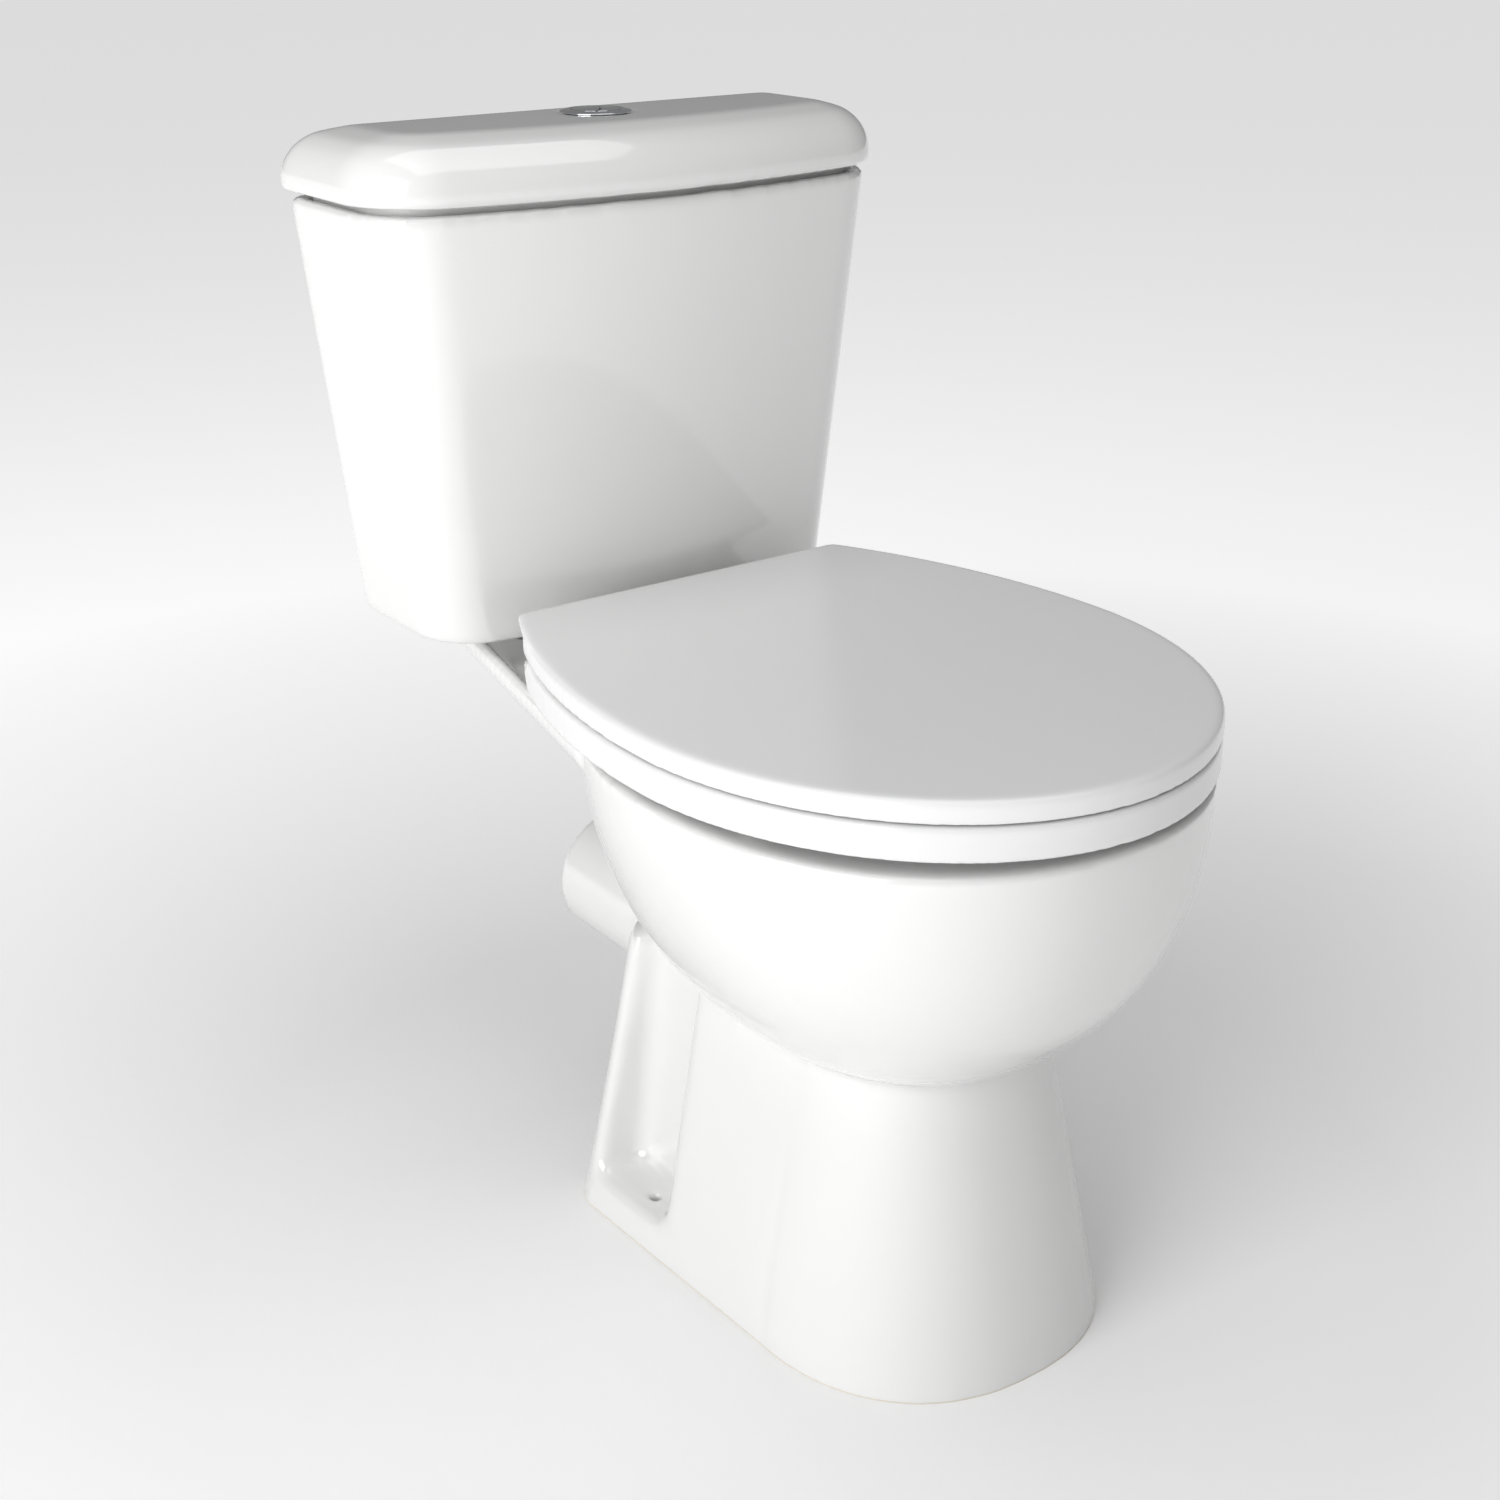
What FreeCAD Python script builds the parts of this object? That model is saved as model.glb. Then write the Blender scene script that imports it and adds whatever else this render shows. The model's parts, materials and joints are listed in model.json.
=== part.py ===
import FreeCAD, Part
import math
import os

# Close coupled toilet in millimetres: a floor standing pan with a horizontal outlet, a cistern
# bolted on its rear deck, a hinged seat and lid, a dual flush button and the valves inside.
# +Z is up, the toilet faces -Y, X runs across.  The origin lies on the floor, at the centre of
# the object's box.

Vector = FreeCAD.Vector
UP = Vector(0, 0, 1)
ACROSS = Vector(1, 0, 0)
BACKWARDS = Vector(0, 1, 0)

# Driving dimensions of the pan
rim_height = 400.0
rim_half_width = 185.0
rim_front_y = -303.5
rim_rear_y = 108.0
bowl_middle_y = -84.0
bowl_exponent = 2.24
widest_y = -85.0
rim_width = 48.0
basin_rear_y = 50.0
neck_height = 209.0
neck_half_width = 88.5
neck_front_y = -205.0
neck_back_y = 26.0
foot_half_width = 125.0
foot_rear_half_width = 130.5
foot_front_y = -252.5
foot_middle_y = -118.0
foot_rear_y = 121.0
neck_rear_y = 112.0
foot_corner_radius = 40.0
china_wall = 12.0

# Deck behind the bowl
deck_height = 391.0
deck_underside = 366.0
deck_front_half_width = 168.0
deck_front_y = 15.0
deck_rear_half_width = 108.0
deck_rear_y = 292.0
deck_undercut = 26.0
deck_lip = 9.0
deck_corner_reach = 30.0
deck_dish_front_y = 70.0
nut_pocket_radius = 16.5
nut_pocket_bottom = 334.0

# Side recesses of the foot and their floor fixing holes
ledge_height = 27.0
fixing_x = 105.0
fixing_y = 33.0
fixing_radius = 4.5
recess_front_y = -6.0
recess_rear_y = 84.0
recess_rear_lean = 8.0
recess_foot_x = 84.0
recess_neck_x = 66.0

# Outlet and trap
outlet_height = 180.0
outlet_radius = 51.0
outlet_bore = 44.0
outlet_end_y = 241.0
outlet_root_y = 60.0
outlet_free = 100.0
outlet_swell = 7.0
trap_radius = 43.0
trap_bore = 33.0
trap_bend = 48.0
trap_route = ((-58.0, 196.0), (-8.0, 128.0), (72.0, 238.0), (128.0, 180.0), (175.0, 180.0))
duct_height = 366.0
duct_radius = 17.0

# Column behind the bowl: half width, front, rear, middle, height and roundness of each section
column_sections = ((82.0, -160.0, 96.0, -60.0, 190.0, 2.6),
                   (70.0, -120.0, 130.0, 20.0, 300.0, 2.4),
                   (58.0, -100.0, 275.0, 100.0, 370.0, 2.6))

# Seat and lid
seat_half_width = 192.0
seat_front_depth = 227.0
seat_side_radius = 483.0
seat_rear_y = 141.0
seat_bottom = 408.3
seat_top = 431.3
lid_bottom = 432.0
lid_top = 447.0
lid_skin = 4.5
lid_wall = 4.0
lid_edge_radius = 3.6
seat_wall = 5.0
seat_edge_radius = 3.0
hole_half_width = 112.0
hole_front_y = -240.0
hole_rear_y = 42.0
hole_middle_y = -95.0
seat_hollow_rear_y = 70.0
seat_end_reach = 5.8
hinge_x = 77.5
hinge_y = 104.0
hinge_z = 434.0
hinge_pin_radius = 4.0
knuckle_radius = 7.0
hinge_scoop = 9.6
hinge_play = 0.05
post_half_length = 6.0
knuckle_length = 10.0
side_gap = 1.0

# Cistern
cistern_back_y = 307.2
cistern_back_plane = 307.0
cistern_bottom = 413.0
cistern_top = 711.0
cistern_wall = 9.0
cistern_bottom_section = {"half_width": 170.6, "front_y": 162.7, "bow": 20.9, "corner": 45.0}
cistern_top_section = {"half_width": 205.0, "front_y": 143.7, "bow": 26.8, "corner": 57.0}
rear_corner_radius = 14.0
wall_hole_x = 150.0
wall_hole_z = 625.0
wall_hole_radius = 4.0

# Cistern lid
cistern_lid_top = 757.0
cistern_lid_wall = 9.0
lid_rib_drop = 8.0
lid_rib_height = 38.0
lid_rib_play = 3.0
lid_rib_width = 5.0

# Shoulder of the cistern lid: height, and outset from the cistern's top outline
lid_shoulder = ((713.5, 4.0), (722.0, 4.8), (734.0, 2.4),
                (744.0, -4.0), (751.5, -14.0), (cistern_lid_top, -34.0))

# Flush centre line, shared by the button, the flush valve and the pan's inlet
flush_y = 237.0

# Dual flush button
bezel_radius = 25.0
bezel_barrel = 19.0
bezel_bore = 17.4
bezel_height = 1.8
bezel_edge_radius = 1.2
lid_hole_radius = 20.0
button_radius = 16.4
button_bottom = 748.0
button_crown = 760.0
button_dome_radius = 120.0
divide_centre = (-23.0, 9.5)
divide_radius = 27.8
divide_gap = 0.45
rod_radius = 2.5
guide_radius = 2.6
rod_places = {"full_flush": (-12.0, -6.0), "half_flush": (12.0, 6.0)}
rod_bottom = 692.5
barrel_bottom = 730.0
guide_plate = 3.0
spring_wire = 0.4
spring_radius = 3.2
spring_turns = 4

# Flush valve
lever_axis_z = 690.6
lever_half_thickness = 1.5
lever_output = 25.0
lever_width = 8.0
lever_offset = 6.0
lever_pin_radius = 2.0
yoke_inner = 27.5
yoke_wall = 3.0
yoke_near = 2.0
yoke_far = 10.0
yoke_lip = 18.0
tube_radius = 12.0
tube_bore = 10.0
tube_top = 645.0
bridge_top = 672.0
bridge_thickness = 6.0
column_half_width = 9.0
column_near = 30.0
column_far = 38.0
ear_half_width = 5.0
ear_near = 12.5
ear_far = 16.5
yoke_foot = 628.0
yoke_foot_height = 8.0
sleeve_radius = 24.0
sleeve_top = 560.0
sleeve_height = 40.0
sleeve_arm_height = 10.0
tail_radius = 29.0
tail_bore = 24.0
tail_bottom = 372.0
valve_flange_radius = 43.0
inlet_radius = 33.0

# Fill valve
fill_x = 140.0
fill_shank_radius = 10.48
fill_collar_radius = 10.9
fill_bore = 4.0
fill_shank_bottom = 365.0
riser_radius = 10.0
float_bottom = 560.0
float_top = 618.0
float_radius = 30.0
float_lever_z = 652.0
float_lever_arm = 24.0
float_pin_radius = 1.5
float_rod_radius = 2.5
fill_head_radius = 17.0
fill_head_bottom = 638.0
fill_head_top = 662.0
bracket_near = 4.5
bracket_far = 8.0
float_pivot_x = fill_x - 30.0
float_arm_thickness = 2.0
float_arm_width = 4.5

# Bolts that hold the cistern on the deck
coupling_x = 72.0
coupling_radius = 4.0
coupling_hole_radius = 6.0
seat_bolt_hole_radius = 7.0
hole_start = 300.0


def box(x_range, y_range, z_range):
    """A block between the given limits."""
    corner = Vector(x_range[0], y_range[0], z_range[0])
    size = [high - low for low, high in (x_range, y_range, z_range)]
    return Part.makeBox(size[0], size[1], size[2], corner)


def post(radius, bottom, top, x=0.0, y=flush_y):
    """An upright cylinder."""
    return Part.makeCylinder(radius, top - bottom, Vector(x, y, bottom), UP)


def ring(outer, inner, bottom, top, x=0.0, y=flush_y):
    """An upright tube."""
    return post(outer, bottom, top, x, y).cut(post(inner, bottom - 1, top + 1, x, y))


def rod(radius, centre, direction, half_length):
    """A cylinder centred on a point."""
    start = centre - direction * half_length
    return Part.makeCylinder(radius, 2 * half_length, start, direction)


def span(first, second):
    """Two limits in rising order."""
    return min(first, second), max(first, second)


def hexagon(across_flats, bore, bottom, top, x=0.0, y=flush_y):
    """A hexagonal nut."""
    reach = across_flats / math.sqrt(3)
    corners = []
    for i in range(7):
        angle = math.radians(60 * i)
        corners.append(Vector(x + reach * math.cos(angle), y + reach * math.sin(angle), bottom))
    prism = Part.Face(Part.makePolygon(corners)).extrude(UP * (top - bottom))
    return prism.cut(post(bore, bottom - 1, top + 1, x, y))


def join(*solids):
    """One solid from several that touch."""
    return solids[0].multiFuse(list(solids[1:]))


def both_sides(shape):
    """The shape and its mirror image across the plane of symmetry."""
    return [shape, shape.mirror(Vector(0, 0, 0), ACROSS)]


def pair(shape):
    """Two separate solids, one on each side."""
    return Part.makeCompound(both_sides(shape))


def smooth_wire(points):
    """A closed smooth curve through the points."""
    curve = Part.BSplineCurve()
    curve.interpolate(Points=points, PeriodicFlag=True)
    return Part.Wire([curve.toShape()])


def rounded(before, corner, after, reach):
    """Start, middle and end of the arc that rounds a corner, touching both lines at the reach."""
    back = (before - corner).normalize()
    ahead = (after - corner).normalize()
    half_angle = back.getAngle(ahead) / 2
    radius = reach * math.tan(half_angle)
    middle = corner + (back + ahead).normalize() * (radius / math.sin(half_angle) - radius)
    return corner + back * reach, middle, corner + ahead * reach


def egg(half_width, front_y, rear_y, middle_y, z, exponent=2.1, count=28):
    """An egg outline: two half superellipses that meet at middle_y."""
    points = []
    for i in range(count):
        angle = 2 * math.pi * i / count
        across = math.cos(angle)
        along = math.sin(angle)
        depth = middle_y - front_y if along < 0 else rear_y - middle_y
        x = half_width * math.copysign(abs(across) ** (2 / exponent), across)
        y = middle_y + depth * math.copysign(abs(along) ** (2 / exponent), along)
        points.append(Vector(x, y, z))
    return smooth_wire(points)


def loft(wires, straight=False):
    """A closed solid through the outlines."""
    return Part.makeLoft(wires, True, straight)


def solid_between(wire, height):
    """A flat outline made into a slab."""
    return Part.Face(wire).extrude(UP * height)


def foot_outline(z, inset=0.0):
    """The foot's outline at a height: round in front, nearly straight sides, round rear corners."""
    rise = z / neck_height
    half = foot_half_width + (neck_half_width - foot_half_width) * rise - inset
    rear_half = foot_rear_half_width + (neck_half_width - foot_rear_half_width) * rise - inset
    front = foot_front_y + (neck_front_y - foot_front_y) * rise + inset
    flare = (1 - rise) ** 2 if rise < 1 else 0.0
    rear = neck_rear_y + (foot_rear_y - neck_rear_y) * flare - inset
    exponent = 2.3
    curve_points = []
    for i in range(13):
        angle = math.pi * i / 12
        x = half * math.copysign(abs(math.cos(angle)) ** (2 / exponent), math.cos(angle))
        y = foot_middle_y - (foot_middle_y - front) * math.sin(angle) ** (2 / exponent)
        curve_points.append(Vector(x, y, z))
    front_curve = Part.BSplineCurve()
    front_curve.interpolate(curve_points)
    side_start = curve_points[-1]
    left_corner = Vector(-rear_half, rear, z)
    right_corner = Vector(rear_half, rear, z)
    left = rounded(side_start, left_corner, right_corner, foot_corner_radius)
    right = rounded(left_corner, right_corner, curve_points[0], foot_corner_radius)
    return Part.Wire([front_curve.toShape(),
                      Part.makeLine(side_start, left[0]), Part.Arc(*left).toShape(),
                      Part.makeLine(left[2], right[0]), Part.Arc(*right).toShape(),
                      Part.makeLine(right[2], curve_points[0])])


def deck_outline(inset, z):
    """The deck's outline: a trapezium that narrows backwards, with round rear corners."""
    slope = (deck_front_half_width - deck_rear_half_width) / (deck_rear_y - deck_front_y)
    front_half = deck_front_half_width - inset
    rear_half = deck_rear_half_width + slope * inset - inset
    left_front = Vector(-front_half, deck_front_y, z)
    right_front = Vector(front_half, deck_front_y, z)
    left_rear = Vector(-rear_half, deck_rear_y - inset, z)
    right_rear = Vector(rear_half, deck_rear_y - inset, z)
    right = rounded(right_front, right_rear, left_rear, deck_corner_reach)
    left = rounded(right_rear, left_rear, left_front, deck_corner_reach)
    return Part.Wire([Part.makeLine(left_front, right_front),
                      Part.makeLine(right_front, right[0]), Part.Arc(*right).toShape(),
                      Part.makeLine(right[2], left[0]), Part.Arc(*left).toShape(),
                      Part.makeLine(left[2], left_front)])


def bowl_outline(share, inset=0.0):
    """The bowl's outline at a share of the way from the rim down to the neck."""
    z = rim_height - (rim_height - neck_height) * share
    side_swell = (1 - share ** 1.85) ** 0.71
    end_swell = (1 - share ** 2.7) ** 0.81
    half = neck_half_width + (rim_half_width - neck_half_width) * side_swell - inset
    front = neck_front_y + (rim_front_y - neck_front_y) * end_swell + inset
    rear = neck_back_y + (rim_rear_y - neck_back_y) * end_swell - inset
    return egg(half, front, rear, bowl_middle_y, z, bowl_exponent)


def make_bowl_shape():
    """The outside of the bowl, from the rim to where it meets the foot."""
    shares = (0.0, 0.15, 0.32, 0.5, 0.66, 0.8, 0.9, 0.96, 0.99)
    return loft([bowl_outline(share) for share in shares])


def make_well():
    """The inside of the bowl: the mouth between the rim's overhangs, the basin and the sump."""
    mouth_front = rim_front_y + rim_width
    mouth = egg(rim_half_width - rim_width, mouth_front, basin_rear_y, bowl_middle_y, rim_height - 30)
    wires = [bowl_outline(share, china_wall + 1) for share in (0.11, 0.3, 0.5, 0.68)]
    wires.append(egg(72.0, -168.0, 0.0, -76.0, 236.0))
    wires.append(egg(40.0, -112.0, -18.0, -64.0, 208.0))
    wires.append(egg(27.0, -86.0, -34.0, -60.0, 190.0))
    basin = loft(wires)
    return solid_between(mouth, 40.0), basin


def smooth_path(points, bend):
    """Straight runs joined by arcs that are tangent to them."""
    edges = []
    start = points[0]
    for before, corner, after in zip(points, points[1:], points[2:]):
        half_angle = (before - corner).getAngle(after - corner) / 2
        arc = rounded(before, corner, after, bend / math.tan(half_angle))
        edges.append(Part.makeLine(start, arc[0]))
        edges.append(Part.Arc(*arc).toShape())
        start = arc[2]
    edges.append(Part.makeLine(start, points[-1]))
    return Part.Wire(edges)


def pipe(radius, points, bend):
    """A round bar along a smooth path."""
    path = smooth_path(points, bend)
    heading = points[1] - points[0]
    section = Part.Wire([Part.makeCircle(radius, points[0], heading)])
    return path.makePipeShell([section], True, True)


def make_recess(side, grown=0.0):
    """The hollow in one side of the foot, over its fixing ledge."""
    wires = []
    for z, x in ((ledge_height - grown, recess_foot_x), (neck_height + 10, recess_neck_x)):
        x_in = x - grown
        front = recess_front_y - grown
        rear = recess_rear_y + 4 * grown - recess_rear_lean * (z / neck_height)
        corners = ((160.0, front), (x_in, front + 14), (x_in, rear), (160.0, rear))
        points = [Vector(side * cx, cy, z) for cx, cy in corners]
        wires.append(Part.makePolygon(points + points[:1]))
    shape = loft(wires, True)
    if grown:
        return shape
    inner_edges = [edge for edge in shape.Edges if is_inner_upright(edge)]
    return shape.makeFillet(12.0, inner_edges)


def is_inner_upright(edge):
    """Whether an edge of a recess is one of its two inner corners."""
    first, last = (vertex.Point for vertex in edge.Vertexes)
    return abs(last.z - first.z) > 100 and abs(first.x) < 100


def column_outline(rise, inset=0.0):
    """The column behind the bowl, which carries the deck and holds the trap."""
    half, front, rear, middle, z, exponent = column_sections[rise]
    return egg(half - inset, front + inset, rear - inset, middle, z, exponent)


def make_pan():
    """The vitreous china pan: foot, bowl, rear deck, trap and outlet in one fired piece."""
    foot = loft([foot_outline(z) for z in (0.0, 70.0, 140.0, neck_height + 6)])
    column = loft([column_outline(i) for i in range(3)])
    slab = solid_between(deck_outline(0.0, deck_height - 6), rim_height - deck_height + 6)
    slab = slab.makeFillet(4.5, [e for e in slab.Edges if e.BoundBox.ZMin > rim_height - 0.1
                                 and e.BoundBox.YMax > deck_front_y + 1])
    undercut = loft([deck_outline(0.0, deck_height - 6), deck_outline(deck_undercut, deck_underside)],
                    True)
    outlet_root = Vector(0, outlet_root_y, outlet_height)
    outlet = Part.makeCylinder(outlet_radius, outlet_end_y - outlet_root_y, outlet_root, BACKWARDS)
    outlet_flare = Part.makeCone(outlet_radius + outlet_swell, outlet_radius,
                                 outlet_end_y - outlet_free - outlet_root_y, outlet_root, BACKWARDS)
    trap_points = [Vector(0, y, z) for y, z in trap_route]
    trap_outside = pipe(trap_radius, trap_points, trap_bend)
    trap_inside = pipe(trap_bore, trap_points, trap_bend)

    hollow = loft([foot_outline(z, china_wall) for z in (-1.0, 70.0, 140.0, neck_height - 14)])
    for side in (-1, 1):
        hollow = hollow.cut(make_recess(side, 10.0))
        hollow = hollow.cut(post(14.0, -5, ledge_height + 5, side * fixing_x, fixing_y))
    column_hollow = loft([column_outline(i, china_wall + 2) for i in range(3)])
    column_hollow.translate(Vector(0, 0, -china_wall))
    shell = join(foot, column).cut([hollow, column_hollow])
    shape = join(shell, make_bowl_shape(), slab, undercut, outlet, outlet_flare, trap_outside)

    mouth, basin = make_well()
    dish = solid_between(deck_outline(deck_lip, deck_height), 20.0)
    dish = dish.common(box((-200, 200), (deck_dish_front_y, 400), (deck_height, rim_height + 1)))
    bore_start = Vector(0, outlet_end_y - 76, outlet_height)
    bore = Part.makeCylinder(outlet_bore, 77, bore_start, BACKWARDS)
    duct_start = Vector(0, basin_rear_y - 20, duct_height)
    duct = Part.makeCylinder(duct_radius, flush_y - basin_rear_y + 20, duct_start, BACKWARDS)
    inlet = post(inlet_radius, duct_height - duct_radius, rim_height + 1)
    cuts = [mouth, basin, trap_inside, bore, dish, duct, inlet]
    for x in (-hinge_x, hinge_x):
        cuts.append(post(seat_bolt_hole_radius, hole_start, rim_height + 1, x, hinge_y))
        cuts.append(post(nut_pocket_radius, nut_pocket_bottom, deck_underside, x, hinge_y))
    for x in (-coupling_x, coupling_x):
        cuts.append(post(coupling_hole_radius, hole_start, rim_height + 1, x, flush_y))
        cuts.append(post(nut_pocket_radius, nut_pocket_bottom, deck_underside, x, flush_y))
    for side in (-1, 1):
        cuts.append(make_recess(side))
        cuts.append(post(fixing_radius, -1, ledge_height + 20, side * fixing_x, fixing_y))
    return shape.cut(cuts)


def cistern_outline(section, outset, z):
    """The cistern's outline: straight back, tangent front corners and a gently bowed front."""
    half = section["half_width"] + outset
    front = section["front_y"] - outset
    reach = section["half_width"] - 5
    bow_radius = (reach ** 2 + section["bow"] ** 2) / (2 * section["bow"]) + outset
    corner = section["corner"] + outset
    rear_corner = max(rear_corner_radius + min(outset, 0) * 0.6, 3.0)
    back = cistern_back_y + outset
    bow_centre = front + bow_radius
    corner_x = half - corner
    corner_y = bow_centre - math.sqrt((bow_radius - corner) ** 2 - corner_x ** 2)
    scale = bow_radius / (bow_radius - corner)
    tangent = (corner_x * scale, bow_centre + (corner_y - bow_centre) * scale)
    towards = Vector(tangent[0] + half - 2 * corner_x, tangent[1] - corner_y, 0).normalize()
    corner_mid = Vector(corner_x + corner * towards.x, corner_y + corner * towards.y, z)
    soft = rear_corner * (1 - math.sqrt(0.5))

    def at(x, y):
        return Vector(x, y, z)

    edges = [Part.Arc(at(-tangent[0], tangent[1]), at(0, front), at(*tangent)).toShape(),
             Part.Arc(at(*tangent), corner_mid, at(half, corner_y)).toShape(),
             Part.makeLine(at(half, corner_y), at(half, back - rear_corner)),
             Part.Arc(at(half, back - rear_corner), at(half - soft, back - soft),
                      at(half - rear_corner, back)).toShape(),
             Part.makeLine(at(half - rear_corner, back), at(rear_corner - half, back)),
             Part.Arc(at(rear_corner - half, back), at(soft - half, back - soft),
                      at(-half, back - rear_corner)).toShape(),
             Part.makeLine(at(-half, back - rear_corner), at(-half, corner_y)),
             Part.Arc(at(-half, corner_y), at(-corner_mid.x, corner_mid.y),
                      at(-tangent[0], tangent[1])).toShape()]
    return Part.Wire(edges)


def make_cistern():
    """The china cistern, open at the top, with holes for its valves, bolts and wall screws."""
    shape = loft([cistern_outline(cistern_bottom_section, 0.0, cistern_bottom),
                  cistern_outline(cistern_top_section, 0.0, cistern_top)], True)
    shape = shape.makeFillet(6.0, [e for e in shape.Edges if e.BoundBox.ZMax < cistern_bottom + 0.1])
    inside = loft([cistern_outline(cistern_bottom_section, -cistern_wall, cistern_bottom + 10),
                   cistern_outline(cistern_top_section, -cistern_wall, cistern_top + 10)], True)
    holes = [post(31.0, 400, 440), post(fill_shank_radius + 1, 400, 440, fill_x)]
    for x in (-coupling_x, coupling_x):
        holes.append(post(coupling_hole_radius, 400, 440, x))
    for x in (-wall_hole_x, wall_hole_x):
        centre = Vector(x, cistern_back_y, wall_hole_z)
        holes.append(rod(wall_hole_radius, centre, BACKWARDS, 20))
    shape = shape.cut(inside).cut(box((-250, 250), (cistern_back_plane, 400), (400, 800)))
    return shape.cut(holes)


def make_cistern_lid():
    """The china lid: a soft shouldered shell that drops over the cistern's mouth."""
    outside = loft([cistern_outline(cistern_top_section, outset, z) for z, outset in lid_shoulder], True)
    inside_wires = []
    for i in (0, 2, 4, 5):
        z, outset = lid_shoulder[i]
        drop = cistern_lid_wall if i > 0 else 1.0
        inside_wires.append(cistern_outline(cistern_top_section, outset - cistern_lid_wall, z - drop))
    shell = outside.cut(loft(inside_wires, True))
    rib_bottom = cistern_top - lid_rib_drop
    rib_inset = cistern_wall + lid_rib_play
    rib_outline = cistern_outline(cistern_top_section, -rib_inset, rib_bottom)
    rib_hole_outline = cistern_outline(cistern_top_section, -rib_inset - lid_rib_width, rib_bottom)
    rib_hole = solid_between(rib_hole_outline, lid_rib_height)
    rib = solid_between(rib_outline, lid_rib_height).cut(rib_hole)
    return join(shell, rib).cut(post(lid_hole_radius, 700, 800))


def make_bezel():
    """The chrome ring round the buttons, with its barrel and rod guides."""
    flange_top = cistern_lid_top + bezel_height
    flange = post(bezel_radius, cistern_lid_top, flange_top)
    top_edges = [e for e in flange.Edges if e.BoundBox.ZMin > flange_top - 0.1]
    flange = flange.makeFillet(bezel_edge_radius, top_edges)
    shape = join(flange, post(bezel_barrel, barrel_bottom, cistern_lid_top + 1))
    shape = shape.cut(post(bezel_bore, barrel_bottom + guide_plate, flange_top + 1))
    for x, y in rod_places.values():
        shape = shape.cut(post(guide_radius, barrel_bottom - 1, barrel_bottom + 5, x, flush_y + y))
    return shape


def make_button(name):
    """One of the two flush buttons, cut along a shared arc, with a gently domed top."""
    blank = post(button_radius, button_bottom, button_crown + 2)
    dome_centre = Vector(0, flush_y, button_crown - button_dome_radius)
    dome = Part.makeSphere(button_dome_radius, dome_centre, BACKWARDS)
    blank = blank.common(dome)
    centre_x, centre_y = divide_centre
    if name == "full_flush":
        divider = post(divide_radius - divide_gap, 700, 800, centre_x, flush_y + centre_y)
        return blank.common(divider)
    divider = post(divide_radius + divide_gap, 700, 800, centre_x, flush_y + centre_y)
    return blank.cut(divider)


def make_push_rod(name):
    """The rod under a button, with a round tip over its lever."""
    x, y = rod_places[name]
    tip_z = rod_bottom + rod_radius
    tip = Part.makeSphere(rod_radius, Vector(x, flush_y + y, tip_z))
    return join(post(rod_radius, tip_z, button_bottom, x, flush_y + y), tip)


def make_spring(name):
    """The return spring round a push rod, under its button."""
    x, y = rod_places[name]
    clearance = spring_wire + 0.1
    bottom = barrel_bottom + guide_plate + clearance
    height = button_bottom - bottom - clearance
    helix = Part.makeHelix(height / spring_turns, height, spring_radius)
    section = Part.Wire([Part.makeCircle(spring_wire, Vector(spring_radius, 0, 0), BACKWARDS)])
    coil = Part.Wire(helix).makePipeShell([section], True, True)
    coil.translate(Vector(x, flush_y + y, bottom))
    return coil


def seat_outline(inset, z, rear_y=seat_rear_y):
    """The shared outline of seat and lid: elliptic front, arched sides, straight rear edge."""
    half = seat_half_width - inset
    depth = seat_front_depth - inset
    side_radius = seat_side_radius - inset
    side_centre = half - side_radius
    rear = rear_y - inset
    rear_half = side_centre + math.sqrt(side_radius ** 2 - (rear - widest_y) ** 2)
    middle_angle = math.asin((rear - widest_y) / side_radius) / 2
    middle_x = side_centre + side_radius * math.cos(middle_angle)
    middle_y = widest_y + side_radius * math.sin(middle_angle)
    centre = Vector(0, widest_y, z)
    ellipse = Part.Ellipse(Vector(0, widest_y - depth, z), Vector(half, widest_y, z), centre)
    front = Part.Arc(ellipse, -math.pi / 2, math.pi / 2).toShape()
    right = Part.Arc(Vector(half, widest_y, z), Vector(middle_x, middle_y, z),
                     Vector(rear_half, rear, z)).toShape()
    left = Part.Arc(Vector(-rear_half, rear, z), Vector(-middle_x, middle_y, z),
                    Vector(-half, widest_y, z)).toShape()
    rear_edge = Part.makeLine(Vector(rear_half, rear, z), Vector(-rear_half, rear, z))
    return Part.Wire(Part.sortEdges([front, right, rear_edge, left])[0])


def hinge_rod(radius, x_from, x_to):
    """A cylinder on the hinge axis, between two places on the right side."""
    return Part.makeCylinder(radius, x_to - x_from, Vector(x_from, hinge_y, hinge_z), ACROSS)


post_outer = hinge_x + post_half_length
post_inner = hinge_x - post_half_length
seat_knuckle = (post_outer + side_gap, post_outer + side_gap + knuckle_length)
lid_knuckle = (post_inner - side_gap - knuckle_length, post_inner - side_gap)


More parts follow.
